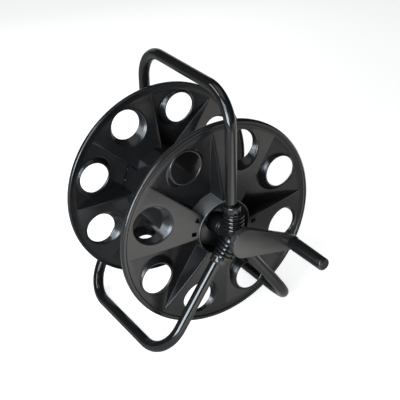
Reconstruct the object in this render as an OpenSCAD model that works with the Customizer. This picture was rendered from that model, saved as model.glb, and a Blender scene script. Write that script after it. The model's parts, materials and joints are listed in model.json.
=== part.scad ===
// Garden hose reel on a bent-tube stand.
// Written around the axle: Y runs along the axle, -Y is the crank side, and
// every module is lifted by axle_h at the end, so the floor is at z = 0.

/* [Stand] */
// Outer diameter of the steel tubes
tube_d = 20; // [16:1:22]
// Wall of the steel tubes
tube_wall = 1.5; // [1:0.5:3]
// Distance between the front and the rear plane of the stand
stand_depth = 275; // [262:1:330]
// Axle to the centre line of each outer bar
leg_len = 251; // [230:1:320]
// Angle of each foot away from straight down
splay = 35; // [25:1:45]
// Centre-line bend radius of the carrying handle
handle_bend = 61; // [50:1:90]
// Centre-line bend radius of the left foot
left_bend = 62; // [50:1:90]
// Centre-line bend radius of the right foot
right_bend = 80; // [50:1:90]

/* [Hubs] */
// Diameter of the collar that grips a tube
collar_d = 30; // [28:1:34]
// Distance from the axle to a collar's outer lip
collar_end = 56; // [50:1:62]
// How far a collar sits outside its tube's centre line
collar_shift = 3; // [2:0.5:3]
// Diameter of the bellows ribs
rib_d = 36; // [34:1:38]
// Distance between neighbouring ribs
rib_pitch = 7.2; // [6.5:0.1:7.5]
// Ribs on each arm
rib_count = 4; // [3:1:4]

/* [Drum] */
// Outer diameter of the flanges
flange_d = 380; // [370:2:400]
// Distance between the two rim planes
drum_width = 198.5; // [180:0.5:200]
// How far the drum and crank are turned at rest
drum_turn = 18.5; // [0:0.5:45]
// Radius of the circle that the eight holes lie on
hole_ring_r = 142.5; // [138:0.5:145]
// Radius of a hole at its narrow throat
throat_r = 27.5; // [22:0.5:28]
// Radius of a hole at its wide mouth
mouth_r = 38; // [34:0.5:39]
// Outer radius of the hub ring in the middle of a flange
hub_r = 52; // [46:1:54]
// Barrel's half width across its four flats
barrel_flat = 66; // [62:1:70]
// Barrel's corner radius across its four chamfers
barrel_chamfer = 77; // [74:1:80]

/* [Crank] */
// Axle to grip distance
crank_len = 104; // [90:1:115]
// Radius of the arm's wide end
arm_big_r = 26.5; // [24:0.5:28]
// Radius of the arm's narrow end
arm_small_r = 13; // [12:0.5:15]
// Thickness of the arm
arm_t = 13; // [12:0.5:14]
// Length of the grip
grip_len = 83; // [70:1:110]
// Diameter of the grip beside the arm
grip_base_d = 23.8; // [22:0.2:24]
// Diameter of the grip at its tip
grip_tip_d = 22.5; // [22:0.1:23.5]

/* [Water fittings] */
// Outer diameter of the hose spigots
spigot_d = 13; // [12:0.5:16]
// Bore of the water passages
water_d = 9; // [6:0.5:9]

/* [Hidden] */
$fn = 96;
gap = 0.3;
running = 0.05;
over = 1; // how far a cut runs past the face it opens

tube_r = tube_d / 2;
tube_y = stand_depth / 2;
axle_h = leg_len * cos(splay) + tube_r;
leg_dirs = [90, 270 + splay, 270 - splay];

// Hub lengths, all measured outward along the axle from the drum's middle
hub_face_y = tube_y - 17.1;
hub_nose_y = tube_y + 30.5;
front_nose_r = 15;
rear_nose_r = 18;
rib_shift = 7;
rib_t = 3.8;
rib_core_d = 27;
first_rib = 17;
collar_start = collar_end - 13.4;
socket_start = 35;
neck_start = 33;
neck_r = 12;

front_bush_r = 11;
rear_bush_r = 14;
bush_face_y = hub_face_y + 0.5;
bush_back_y = hub_nose_y - 0.5;

// Self-tapping screws that hold the tubes in the collars
tube_screw_s = collar_end - 9;
tube_screw_r = 1.9;
tube_screw_len = 6;
tube_screw_hole_r = 2;
tube_screw_head_r = 3.6;
tube_screw_head_h = 2.2;

// Flange, drawn with +Z outward from its rim plane
rim_y = drum_width / 2;
flange_r = flange_d / 2;
rim_band = 10;
rim_bead_z = 3;
rim_lip_z = -7;
sheet_t = 2.5;
petal_h = 16.25; // height of a raised sector at the hub ring
sunk_d = 19.5; // depth of a sunken sector at the hub ring
sheet_edge_r = flange_r - rim_band + 1; // sectors end here, inside the rim band
sheet_edge_z = 0.2;
step_end_r = sheet_edge_r - 4;
hub_wall = 4;
hub_mouth_z = 18;
hub_back_z = -22;
hub_floor_z = -12;
hub_floor_t = 4;
washer_t = 1.1;
washer_y = hub_face_y - gap - washer_t;
boss_top_z = 14.5;
front_boss_r = 16;
rear_boss_r = 19;
seat_top_z = washer_y - rim_y; // the boss steps down to a seat for the washer
front_seat_r = 11.5;
rear_seat_r = 15;
bore_play = 0.1;
raised_throat_z = -4.6;
sunk_throat_z = -1.6;
mouth_z = 13.2;
funnel_wall = 3;
window_size = [9, 8, 20]; // snap windows beside the hub ring
window_r = 61;
window_z = 18;
window_angle = 12;

// Spindles
front_spindle_r = 8;
rear_spindle_r = 11;
spindle_plate_r = 24;
spindle_plate_t = 4;
plate_y = rim_y + hub_floor_z - hub_floor_t;
screw_ring_r = 18.5;
screw_angles = [30, 150, 270];
screw_r = 1.9;
screw_hole_r = 2;
screw_play = 0.3;
screw_bite = 2.5; // how far a screw reaches into the flange's floor
screw_head_r = 3.8;
screw_head_h = 2.5;

// Crank
arm_back_y = hub_nose_y + 0.5;
arm_front_y = arm_back_y + arm_t;
arm_socket = 9;
bolt_r = 3;
bolt_head_r = 5.5;
bolt_head_h = 4;
bolt_end_y = arm_front_y - 2;
pin_r = 6;
pin_head_r = 8.6;
pin_head_h = 3;
grip_start_y = arm_front_y + gap;
grip_end_y = grip_start_y + grip_len;
grip_round = 3;
grip_chamfer = 1.5;
pin_seat_y = grip_end_y - 11;
pin_head_y = pin_seat_y + 0.5;
cap_start_y = grip_end_y - 5.5;
cap_t = 5;

// Barrel and water fittings
barrel_t = 3;
barrel_half = rim_y - sunk_d - sheet_t / 2 + 1.2;
tongue_half = rim_y + 12.2;
tongue_reach = 100;
tongue_inset = 6;
hose_dir = 270;
outlet_y = 48;
outlet_end = 101;
outlet_body_r = 11.5;
outlet_arm_r = 10;
outlet_back_y = 25.5; // the socket's open end, beyond outlet_y
socket_depth_y = 8.5;
outlet_seal_y = 15.5;
outlet_seal_r = 0.85;
elbow_start_y = hub_nose_y + 0.7;
elbow_end_y = elbow_start_y + 24;
elbow_r = 16.5;
elbow_bore = 16.5;
clip_room_r = rear_spindle_r + 2.5;
inlet_y = elbow_start_y + 9;
inlet_end = 62;
inlet_root = elbow_r + 6;
inlet_root_r = spigot_d / 2 + 1.2;
seal_gap = 5.5;
seal_groove = 1.5;
inlet_seal_r = 0.7;
clip_y = elbow_start_y + 17.5;
clip_t = 1;
clip_groove = 1;
spindle_end_y = elbow_start_y + 20.5;
port_r = 3.5;
cap_h = 3;

// ---- helpers -------------------------------------------------------------

// Lift from the axle frame to the floor frame
module stand_frame() {
    translate([0, 0, axle_h]) children();
}

// The drum's own frame: turned about the axle and lifted
module drum_frame() {
    stand_frame() rotate([0, drum_turn, 0]) children();
}

// +Z of the children points out of the front (crank) side
module front() {
    rotate([90, 0, 0]) children();
}

// +Z of the children points out of the rear side
module rear() {
    rotate([-90, 0, 0]) children();
}

// +Z of the children points away from the axle at an angle seen from the front
module radial(angle) {
    rotate([0, 90 - angle, 0]) children();
}

module ring(z0, z1, outer_r, inner_r) {
    translate([0, 0, z0]) difference() {
        cylinder(h = z1 - z0, r = outer_r);
        translate([0, 0, -over]) cylinder(h = z1 - z0 + 2 * over, r = inner_r);
    }
}

// ---- stand ---------------------------------------------------------------

// Solid U from y = -tube_y to y = tube_y, legs along Z, bar at z = leg_len
module u_solid(r, bend, open_end) {
    straight = tube_y - bend;
    for (side = [-1, 1]) {
        translate([0, side * tube_y, socket_start - open_end])
            cylinder(h = leg_len - bend - socket_start + open_end, r = r);
        translate([0, side * straight, leg_len - bend])
            rotate([0, -90, 0])
            rotate([0, 0, side > 0 ? 0 : -90])
            rotate_extrude(angle = 90)
            translate([bend, 0])
            circle(r = r);
    }
    translate([0, straight, leg_len])
        rotate([90, 0, 0])
        cylinder(h = 2 * straight, r = r);
}

module u_tube(angle, bend) {
    stand_frame() radial(angle) difference() {
        u_solid(tube_r, bend, 0);
        u_solid(tube_r - tube_wall, bend, over);
    }
}

module handle_tube() {
    color("#1b1c1d") u_tube(leg_dirs[0], handle_bend);
}

module left_foot_tube() {
    color("#1b1c1d") u_tube(leg_dirs[2], left_bend);
}

module right_foot_tube() {
    color("#1b1c1d") u_tube(leg_dirs[1], right_bend);
}

// One arm of a hub, along +Z, with -Y outward
module hub_arm() {
    translate([0, -collar_shift, collar_start]) cylinder(h = collar_end - collar_start, d = collar_d);
    translate([0, 0, neck_start]) cylinder(h = collar_start - neck_start + over, r = neck_r);
    translate([0, -rib_shift, 0]) cylinder(h = collar_start + over, d = rib_core_d);
    for (i = [0 : rib_count - 1])
        translate([0, -rib_shift, first_rib + i * rib_pitch - rib_t / 2])
            cylinder(h = rib_t, d = rib_d);
}

// Three-armed hub: bush_r is its bore, nose_r its outer boss
module y_hub(bush_r, nose_r) {
    difference() {
        union() {
            front() translate([0, 0, hub_face_y]) cylinder(h = hub_nose_y - hub_face_y, r = nose_r);
            for (a = leg_dirs)
                translate([0, -tube_y, 0]) radial(a) hub_arm();
        }
        front() translate([0, 0, hub_face_y - over])
            cylinder(h = hub_nose_y - hub_face_y + 2 * over, r = bush_r);
        for (a = leg_dirs)
            translate([0, -tube_y, 0]) radial(a) translate([0, 0, socket_start])
                cylinder(h = leg_len, r = tube_r);
        for (a = leg_dirs)
            translate([0, -tube_y, 0]) radial(a) translate([0, 0, tube_screw_s])
                rotate([-90, 0, 0]) cylinder(h = collar_d, r = tube_screw_hole_r);
    }
}

module front_hub() {
    color("#151617") stand_frame() y_hub(front_bush_r, front_nose_r);
}

module rear_hub() {
    color("#151617") stand_frame() mirror([0, 1, 0]) y_hub(rear_bush_r, rear_nose_r);
}

module front_bush() {
    color("#d8d6cc") stand_frame() front()
        ring(bush_face_y, bush_back_y, front_bush_r, front_spindle_r + running);
}

module rear_bush() {
    color("#d8d6cc") stand_frame() rear()
        ring(bush_face_y, bush_back_y, rear_bush_r, rear_spindle_r + running);
}

// On the side of the collars that faces the drum
module tube_screws() {
    for (a = leg_dirs)
        translate([0, -tube_y, 0]) radial(a) translate([0, 0, tube_screw_s]) rotate([-90, 0, 0]) {
            translate([0, 0, tube_r - tube_wall]) cylinder(h = tube_screw_len, r = tube_screw_r);
            translate([0, 0, collar_d / 2 - collar_shift + running])
                cylinder(h = tube_screw_head_h, r = tube_screw_head_r);
        }
}

module front_tube_screws() {
    color("#8b8d90") stand_frame() tube_screws();
}

module rear_tube_screws() {
    color("#8b8d90") stand_frame() mirror([0, 1, 0]) tube_screws();
}

// ---- drum ----------------------------------------------------------------

// Slopes from the hub ring to the rim, as an r-z outline. dir = 1 raised, -1 sunken
module sheet_outline(dir, hub_z) {
    inner = hub_r - hub_wall / 2;
    half = sheet_t / 2;
    polygon([[inner, dir * (hub_z - half)], [inner, dir * (hub_z + half)],
        [sheet_edge_r, dir * (sheet_edge_z + half)], [sheet_edge_r, dir * (sheet_edge_z - half)]]);
}

// Everything on the throat side of a sector's middle surface
module under_outline(dir, hub_z) {
    lift = 0.4;
    polygon([[hub_r, dir * (hub_z + lift)], [sheet_edge_r, dir * (sheet_edge_z + lift)],
        [sheet_edge_r, dir * hub_back_z], [hub_r, dir * hub_back_z]]);
}

// Cone of a hole, widening from the throat to the mouth; more lengthens both ends
module funnel(dir, extra, more) {
    z0 = dir > 0 ? raised_throat_z : sunk_throat_z;
    slope = (mouth_r - throat_r) / (mouth_z - z0);
    mirror([0, 0, dir > 0 ? 0 : 1])
        translate([hole_ring_r, 0, z0 - more])
        cylinder(h = mouth_z - z0 + 2 * more, r1 = throat_r + extra - slope * more,
            r2 = mouth_r + extra + slope * more);
}

module sector(dir, hub_z) {
    difference() {
        union() {
            rotate([0, 0, -22.5]) rotate_extrude(angle = 45) sheet_outline(dir, hub_z);
            intersection() {
                funnel(dir, funnel_wall, 0);
                rotate([0, 0, -22.5]) rotate_extrude(angle = 45) under_outline(dir, hub_z);
            }
        }
        funnel(dir, 0, 2 * over);
    }
}

// Radial wall that joins a raised sector to its sunken neighbour
module step_wall() {
    rotate([90, 0, 0])
        translate([0, 0, -sheet_t / 2])
        linear_extrude(sheet_t)
        polygon([[hub_r - hub_wall / 2, petal_h], [step_end_r, sheet_edge_z],
            [step_end_r, -sheet_edge_z], [hub_r - hub_wall / 2, -sunk_d]]);
}

// A flat band with a bead and a turned-in lip
module rim() {
    inner = flange_r - rim_band;
    band_z = [-2, 1.6];
    lip_w = 4;
    corner = 2;
    rotate_extrude()
        polygon([[inner, band_z[0]], [inner, band_z[1]], [inner + 2, band_z[1]], [inner + 3.5, rim_bead_z],
            [flange_r - corner, rim_bead_z], [flange_r, rim_bead_z - corner],
            [flange_r, rim_lip_z + corner], [flange_r - corner, rim_lip_z],
            [flange_r - lip_w, rim_lip_z], [flange_r - lip_w, band_z[0]]]);
}

// Places the children on each spindle screw's axis
module at_screws() {
    for (a = screw_angles)
        rotate([0, 0, a]) translate([screw_ring_r, 0, 0]) children();
}

module flange(shaft_r, boss_r, seat_r) {
    difference() {
        union() {
            rim();
            for (i = [0 : 3]) {
                rotate([0, 0, 90 * i]) sector(1, petal_h);
                rotate([0, 0, 90 * i + 45]) sector(-1, sunk_d);
            }
            for (i = [0 : 7])
                rotate([0, 0, 45 * i + 22.5]) step_wall();
            ring(hub_back_z, hub_mouth_z, hub_r, hub_r - hub_wall);
            translate([0, 0, hub_floor_z - hub_floor_t])
                cylinder(h = hub_floor_t, r = hub_r - hub_wall / 4);
            translate([0, 0, hub_floor_z - over])
                cylinder(h = boss_top_z - hub_floor_z + over, r = boss_r);
            translate([0, 0, hub_floor_z]) cylinder(h = seat_top_z - hub_floor_z, r = seat_r);
        }
        translate([0, 0, hub_back_z])
            cylinder(h = seat_top_z - hub_back_z + over, r = shaft_r + bore_play);
        for (side = [0, 180], off = [-window_angle, window_angle])
            rotate([0, 0, side + off]) translate([window_r, 0, window_z])
                cube(window_size, center = true);
        at_screws() translate([0, 0, hub_floor_z - hub_floor_t - over])
            cylinder(h = over + screw_bite + gap, r = screw_hole_r);
    }
}

module front_flange() {
    color("#2b2d2f") drum_frame() front() translate([0, 0, rim_y])
        flange(front_spindle_r, front_boss_r, front_seat_r);
}

module rear_flange() {
    color("#2b2d2f") drum_frame() rear() translate([0, 0, rim_y])
        flange(rear_spindle_r, rear_boss_r, rear_seat_r);
}

// Square with cut corners, grown by extra
module barrel_outline(extra) {
    flat = barrel_flat + extra;
    cut = (barrel_chamfer + extra) * sqrt(2) - flat;
    polygon([[flat, -cut], [flat, cut], [cut, flat], [-cut, flat],
        [-flat, cut], [-flat, -cut], [-cut, -flat], [cut, -flat]]);
}

// Keeps a snap tongue clear of the step walls on both sides
module tongue_wedge(length) {
    half = tongue_reach * tan(22.5) - tongue_inset;
    linear_extrude(length) polygon([[10, 0], [tongue_reach, half], [tongue_reach, -half]]);
}

module drum_barrel() {
    color("#232427") drum_frame() difference() {
        front() union() {
            translate([0, 0, -barrel_half]) linear_extrude(2 * barrel_half) barrel_outline(0);
            for (i = [0 : 3])
                intersection() {
                    translate([0, 0, -tongue_half]) linear_extrude(2 * tongue_half) barrel_outline(0);
                    rotate([0, 0, 90 * i]) translate([0, 0, -tongue_half])
                        tongue_wedge(2 * tongue_half);
                }
        }
        front() translate([0, 0, -tongue_half - over])
            linear_extrude(2 * (tongue_half + over)) barrel_outline(-barrel_t);
        translate([0, outlet_y, 0]) radial(hose_dir) cylinder(h = outlet_end, r = spigot_d / 2 + 1);
    }
}

module spindle_plate() {
    translate([0, 0, plate_y - spindle_plate_t]) difference() {
        cylinder(h = spindle_plate_t, r = spindle_plate_r);
        at_screws() translate([0, 0, -over])
            cylinder(h = spindle_plate_t + 2 * over, r = screw_r + screw_play);
    }
}

module front_spindle() {
    color("#3a3c3e") drum_frame() front() difference() {
        union() {
            spindle_plate();
            translate([0, 0, plate_y - over])
                cylinder(h = arm_back_y + arm_socket - gap - plate_y + over, r = front_spindle_r);
        }
        translate([0, 0, plate_y - spindle_plate_t - over])
            cylinder(h = arm_back_y - plate_y + spindle_plate_t + arm_socket + over, r = bolt_r + bore_play);
    }
}

module rear_spindle() {
    color("#3a3c3e") drum_frame() rear() difference() {
        union() {
            spindle_plate();
            translate([0, 0, plate_y - over])
                cylinder(h = spindle_end_y - plate_y + over, r = rear_spindle_r);
            translate([0, 0, outlet_y + socket_depth_y + bore_play])
                cylinder(h = plate_y - outlet_y - socket_depth_y - bore_play, r = spigot_d / 2);
        }
        translate([0, 0, outlet_y]) cylinder(h = inlet_y + port_r - outlet_y, r = water_d / 2);
        for (a = [0, 90])
            translate([0, 0, inlet_y]) rotate([90, 0, a])
                cylinder(h = 4 * rear_spindle_r, r = port_r, center = true);
        ring(clip_y, clip_y + clip_t + 2 * bore_play, rear_spindle_r + over, rear_spindle_r - clip_groove);
        for (y = [inlet_y - seal_gap, inlet_y + seal_gap])
            ring(y - seal_groove * 2 / 3, y + seal_groove * 2 / 3, rear_spindle_r + over,
                rear_spindle_r - seal_groove);
    }
}

module spindle_screws() {
    at_screws() translate([0, 0, plate_y - spindle_plate_t]) {
        translate([0, 0, -screw_head_h]) cylinder(h = screw_head_h, r = screw_head_r);
        translate([0, 0, -over]) cylinder(h = over + spindle_plate_t + screw_bite, r = screw_r);
    }
}

module front_spindle_screws() {
    color("#8b8d90") drum_frame() front() spindle_screws();
}

module rear_spindle_screws() {
    color("#8b8d90") drum_frame() rear() spindle_screws();
}

module front_thrust_washer() {
    color("#c9c7bd") drum_frame() front()
        ring(washer_y, washer_y + washer_t, front_seat_r, front_spindle_r + 2 * bore_play);
}

module rear_thrust_washer() {
    color("#c9c7bd") drum_frame() rear()
        ring(washer_y, washer_y + washer_t, rear_seat_r, rear_spindle_r + 2 * bore_play);
}

// Barbed elbow inside the drum: takes the water from the rear spindle to the hose
module outlet_elbow() {
    color("#202224") drum_frame() translate([0, outlet_y, 0]) difference() {
        union() {
            rear() translate([0, 0, -outlet_body_r])
                cylinder(h = outlet_body_r + outlet_back_y, r = outlet_body_r);
            radial(hose_dir) cylinder(h = barrel_flat - barrel_t - 1, r = outlet_arm_r);
            radial(hose_dir) cylinder(h = outlet_end, r = spigot_d / 2);
        }
        rear() translate([0, 0, socket_depth_y]) cylinder(h = outlet_back_y, r = spigot_d / 2 + running);
        rear() translate([0, 0, -water_d / 2]) cylinder(h = outlet_back_y, r = water_d / 2);
        radial(hose_dir) cylinder(h = outlet_end + over, r = water_d / 2);
        rear() ring(outlet_seal_y - 1, outlet_seal_y + 1, spigot_d / 2 + 1.8, water_d / 2);
    }
}

module outlet_seal() {
    color("#111111") drum_frame() rear() translate([0, 0, outlet_y + outlet_seal_y])
        rotate_extrude() translate([spigot_d / 2 + outlet_seal_r + bore_play, 0]) circle(r = outlet_seal_r);
}

// ---- crank ---------------------------------------------------------------

// Flat teardrop: two round ends and their common tangents
module teardrop(big_r, small_r) {
    lean = acos((big_r - small_r) / crank_len);
    steps = 32;
    big_end = [for (i = [0 : steps]) let (a = lean + (360 - 2 * lean) * i / steps)
        [big_r * cos(a), big_r * sin(a)]];
    small_end = [for (i = [0 : steps]) let (a = -lean + 2 * lean * i / steps)
        [crank_len + small_r * cos(a), small_r * sin(a)]];
    polygon(concat(big_end, small_end));
}

module crank_arm() {
    color("#3c3d3e") drum_frame() front() difference() {
        translate([0, 0, arm_back_y]) linear_extrude(arm_t) teardrop(arm_big_r, arm_small_r);
        translate([0, 0, arm_back_y - over]) cylinder(h = arm_socket + over, r = front_spindle_r);
        translate([0, 0, arm_back_y]) cylinder(h = bolt_end_y - arm_back_y, r = bolt_r);
        translate([crank_len, 0, arm_back_y - over]) cylinder(h = arm_t + 2 * over, r = pin_r);
    }
}

module crank_bolt() {
    head_y = plate_y - spindle_plate_t;
    color("#8b8d90") drum_frame() front() {
        translate([0, 0, head_y - bolt_head_h]) cylinder(h = bolt_head_h, r = bolt_head_r, $fn = 6);
        translate([0, 0, head_y - over]) cylinder(h = bolt_end_y - head_y, r = bolt_r);
    }
}

module grip_pin() {
    start_y = arm_back_y + 0.5;
    color("#9a9c9f") drum_frame() front() translate([crank_len, 0, 0]) {
        translate([0, 0, start_y]) cylinder(h = pin_head_y + over - start_y, r = pin_r);
        translate([0, 0, pin_head_y]) cylinder(h = pin_head_h, r = pin_head_r);
    }
}

module grip() {
    r0 = grip_base_d / 2;
    r1 = grip_tip_d / 2;
    color("#1a1b1c") drum_frame() front() translate([crank_len, 0, 0]) difference() {
        rotate_extrude() {
            translate([0, grip_start_y])
                polygon([[0, 0], [r0 - grip_chamfer, 0], [r0, grip_chamfer],
                    [r1, grip_len - grip_round], [0, grip_len - grip_round]]);
            translate([0, grip_end_y - grip_round]) square([r1 - grip_round, grip_round]);
            translate([r1 - grip_round, grip_end_y - grip_round]) intersection() {
                circle(r = grip_round);
                square(grip_round);
            }
        }
        translate([0, 0, grip_start_y - over]) cylinder(h = grip_len, r = pin_r + running);
        translate([0, 0, pin_seat_y]) cylinder(h = grip_len, r = pin_head_r + gap);
    }
}

module grip_cap() {
    color("#1a1b1c") drum_frame() front() translate([crank_len, 0, 0])
        translate([0, 0, cap_start_y]) cylinder(h = cap_t, r = pin_head_r + gap);
}

// ---- inlet ---------------------------------------------------------------

module inlet_elbow() {
    color("#202224") stand_frame() difference() {
        union() {
            rear() translate([0, 0, elbow_start_y]) cylinder(h = elbow_end_y - elbow_start_y, r = elbow_r);
            translate([0, inlet_y, 0]) radial(hose_dir) cylinder(h = inlet_end, r = spigot_d / 2);
            translate([0, inlet_y, 0]) radial(hose_dir) cylinder(h = inlet_root, r = inlet_root_r);
        }
        rear() translate([0, 0, elbow_start_y - over])
            cylinder(h = elbow_bore + over, r = rear_spindle_r + running);
        rear() translate([0, 0, elbow_start_y + elbow_bore]) cylinder(h = elbow_bore, r = clip_room_r);
        translate([0, inlet_y, 0]) radial(hose_dir) translate([0, 0, rear_spindle_r - over])
            cylinder(h = inlet_end, r = water_d / 2);
    }
}

// Two O-rings in the spindle's grooves
module inlet_seals() {
    color("#111111") drum_frame() rear() for (y = [inlet_y - seal_gap, inlet_y + seal_gap])
        translate([0, 0, y]) rotate_extrude() translate([rear_spindle_r - seal_groove / 2, 0])
            circle(r = inlet_seal_r);
}

// E-shaped clip in the spindle's outer groove, open on one side
module inlet_clip() {
    color("#8b8d90") drum_frame() rear() difference() {
        ring(clip_y + bore_play, clip_y + bore_play + clip_t, rear_spindle_r + 1.8,
            rear_spindle_r - clip_groove + bore_play);
        translate([rear_spindle_r / 2, -3, clip_y - over]) cube([rear_spindle_r, 6, clip_t + 2 * over]);
    }
}

module inlet_cap() {
    color("#202224") stand_frame() rear() difference() {
        union() {
            translate([0, 0, elbow_end_y]) cylinder(h = cap_h, r = elbow_r);
            translate([0, 0, elbow_end_y - 2.5]) cylinder(h = cap_h, r = clip_room_r);
        }
        translate([0, 0, elbow_end_y - cap_h]) cylinder(h = cap_h + 0.5, r = rear_spindle_r + 0.5);
    }
}

handle_tube();
left_foot_tube();
right_foot_tube();
front_hub();
rear_hub();
front_bush();
rear_bush();
front_tube_screws();
rear_tube_screws();
front_flange();
rear_flange();
drum_barrel();
front_spindle();
rear_spindle();
front_spindle_screws();
rear_spindle_screws();
front_thrust_washer();
rear_thrust_washer();
outlet_elbow();
outlet_seal();
crank_arm();
crank_bolt();
grip_pin();
grip();
grip_cap();
inlet_elbow();
inlet_seals();
inlet_clip();
inlet_cap();
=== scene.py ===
import json
from math import acos, atan2, cos, hypot, pi, radians, sin, sqrt

import bmesh
import bpy
from mathutils import Matrix, Vector


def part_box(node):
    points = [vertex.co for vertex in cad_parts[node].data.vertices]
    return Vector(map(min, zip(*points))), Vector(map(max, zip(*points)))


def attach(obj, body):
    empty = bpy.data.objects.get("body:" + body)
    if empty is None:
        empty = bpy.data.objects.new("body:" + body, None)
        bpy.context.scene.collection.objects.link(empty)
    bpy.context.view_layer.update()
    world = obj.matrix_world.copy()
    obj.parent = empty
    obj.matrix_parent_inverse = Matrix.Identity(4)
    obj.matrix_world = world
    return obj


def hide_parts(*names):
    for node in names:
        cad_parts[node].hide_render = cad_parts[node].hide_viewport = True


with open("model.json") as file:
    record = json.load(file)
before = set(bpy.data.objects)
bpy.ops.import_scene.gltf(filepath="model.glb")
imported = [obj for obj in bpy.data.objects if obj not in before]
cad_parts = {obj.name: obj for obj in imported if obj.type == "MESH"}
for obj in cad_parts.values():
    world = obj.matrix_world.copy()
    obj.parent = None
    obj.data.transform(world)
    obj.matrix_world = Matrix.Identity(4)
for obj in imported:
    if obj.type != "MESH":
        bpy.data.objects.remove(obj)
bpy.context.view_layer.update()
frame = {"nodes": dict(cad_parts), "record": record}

MM = 0.001
# How far a cutter sticks out of what it cuts, and the radius that stands for an axis (mm)
CUT_PAST = 9
AXIS_R = 0.01

# ---- driving dimensions, read from the frame (mm) ---------------------------------------


def box_mm(node):
    low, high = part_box(node)
    return [v / MM for v in low], [v / MM for v in high]


def joint(name):
    return next(j for j in frame["record"]["behaviour"]["joints"] if j["name"] == name)


AXLE_Z = joint("drum_turn")["pos_m"][2] / MM
GRIP_X = joint("grip_spin")["pos_m"][0] / MM
GRIP_Z = joint("grip_spin")["pos_m"][2] / MM - AXLE_Z
CRANK_LEN = hypot(GRIP_X, GRIP_Z)
DRUM_TURN = -atan2(GRIP_Z, GRIP_X)

flange_low, flange_high = box_mm("front_flange")
handle_low, handle_high = box_mm("handle_tube")
arm_low, arm_high = box_mm("crank_arm")
grip_low, grip_high = box_mm("grip")

TUBE_R = (handle_high[0] - handle_low[0]) / 2
TUBE_Y = handle_high[1] - TUBE_R
LEG = handle_high[2] - TUBE_R - AXLE_Z
SPLAY = acos((AXLE_Z - TUBE_R) / LEG)
FLANGE_R = round((flange_high[0] - flange_low[0]) / 2)
# The flange's box ends outward at the top of its boss
BOSS_TOP = 19.75
RIM_Y = -flange_low[1] - BOSS_TOP
LEG_ANGLES = {"handle": pi / 2, "right_foot": SPLAY - pi / 2, "left_foot": -pi / 2 - SPLAY}
BENDS = {"handle": 61, "left_foot": 62, "right_foot": 80}

# ---- mesh helpers ---------------------------------------------------------------------


def lift(point):
    """A point of the axle frame (mm) in the row frame (m)."""
    return Vector((point[0], point[1], point[2] + AXLE_Z)) * MM


def turned(point):
    """A point of the drum's own frame, turned to the drum's rest angle."""
    x, y, z = point
    c, s = cos(DRUM_TURN), sin(DRUM_TURN)
    return (x * c + z * s, y, z * c - x * s)


def same(point):
    return point


def shade(obj, angle):
    """Smooth shading with sharp edges above an angle in degrees."""
    obj.data.shade_smooth()
    obj.data.set_sharp_from_angle(angle=radians(angle))


def new_object(name, verts, faces, place, smooth_angle):
    """A mesh object from axle-frame points in mm, with its normals outward."""
    mesh = bpy.data.meshes.new(name)
    mesh.from_pydata([lift(place(v)) for v in verts], [], faces)
    bm = bmesh.new()
    bm.from_mesh(mesh)
    bmesh.ops.remove_doubles(bm, verts=bm.verts, dist=1e-6)
    bmesh.ops.recalc_face_normals(bm, faces=bm.faces)
    bm.to_mesh(mesh)
    bm.free()
    obj = bpy.data.objects.new(name, mesh)
    bpy.context.collection.objects.link(obj)
    shade(obj, smooth_angle)
    return obj


def cut(obj, cutters, smooth_angle):
    """Cuts closed shapes out of an object; the cutters are used up."""
    for cutter in cutters:
        modifier = obj.modifiers.new("cut", "BOOLEAN")
        modifier.operation = "DIFFERENCE"
        modifier.solver = "EXACT"
        modifier.object = cutter
    bpy.context.view_layer.update()
    ready = obj.evaluated_get(bpy.context.evaluated_depsgraph_get())
    mesh = bpy.data.meshes.new_from_object(ready)
    obj.modifiers.clear()
    old = obj.data
    obj.data = mesh
    bpy.data.meshes.remove(old)
    for cutter in cutters:
        used = cutter.data
        bpy.data.objects.remove(cutter)
        bpy.data.meshes.remove(used)
    shade(obj, smooth_angle)


def joined(objects, name, smooth_angle):
    """One object made of several, which are used up."""
    bm = bmesh.new()
    for obj in objects:
        bm.from_mesh(obj.data)
    mesh = bpy.data.meshes.new(name)
    bm.to_mesh(mesh)
    bm.free()
    for obj in objects:
        old = obj.data
        bpy.data.objects.remove(obj)
        bpy.data.meshes.remove(old)
    whole = bpy.data.objects.new(name, mesh)
    bpy.context.collection.objects.link(whole)
    shade(whole, smooth_angle)
    return whole


class Shape:
    """Collects vertices and faces of closed parts before they become one object."""

    def __init__(self):
        self.verts = []
        self.faces = []

    def grid(self, rows, close_u=False, close_v=False, capped=False):
        """Quads over rows of points; close_u joins the last row to the first."""
        base = len(self.verts)
        n, m = len(rows), len(rows[0])
        for row in rows:
            self.verts.extend(row)
        for i in range(n if close_u else n - 1):
            for j in range(m if close_v else m - 1):
                i2, j2 = (i + 1) % n, (j + 1) % m
                self.faces.append((base + i * m + j, base + i * m + j2,
                                   base + i2 * m + j2, base + i2 * m + j))
        if capped:
            self.faces.append(tuple(base + j for j in reversed(range(m))))
            self.faces.append(tuple(base + (n - 1) * m + j for j in range(m)))

    def lathe(self, profile, place, segments=96, closed=True, wobble=None):
        """Revolves (radius, height[, shift]) points; place maps (a, b, h) to the axle frame."""
        rows = []
        for r, h, *shift in profile:
            row = []
            for k in range(segments):
                a = 2 * pi * k / segments
                rr = r * (wobble(a, h) if wobble else 1)
                row.append(place(rr * cos(a), rr * sin(a) + sum(shift), h))
            rows.append(row)
        self.grid(rows, close_u=closed, close_v=True, capped=not closed)

    def prism(self, outline, low, high, place):
        """A block with the same outline at two heights; place maps (u, v, height)."""
        rows = [[place(u, v, h) for u, v in outline] for h in (low, high)]
        self.grid(rows, close_v=True, capped=True)

    def build(self, name, smooth_angle, place=same):
        return new_object(name, self.verts, self.faces, place, smooth_angle)


def arc(cx, cy, r, a0, a1, steps):
    """Points on an arc, angles in degrees."""
    return [(cx + r * cos(radians(a0 + (a1 - a0) * i / steps)),
             cy + r * sin(radians(a0 + (a1 - a0) * i / steps))) for i in range(steps + 1)]


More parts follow.
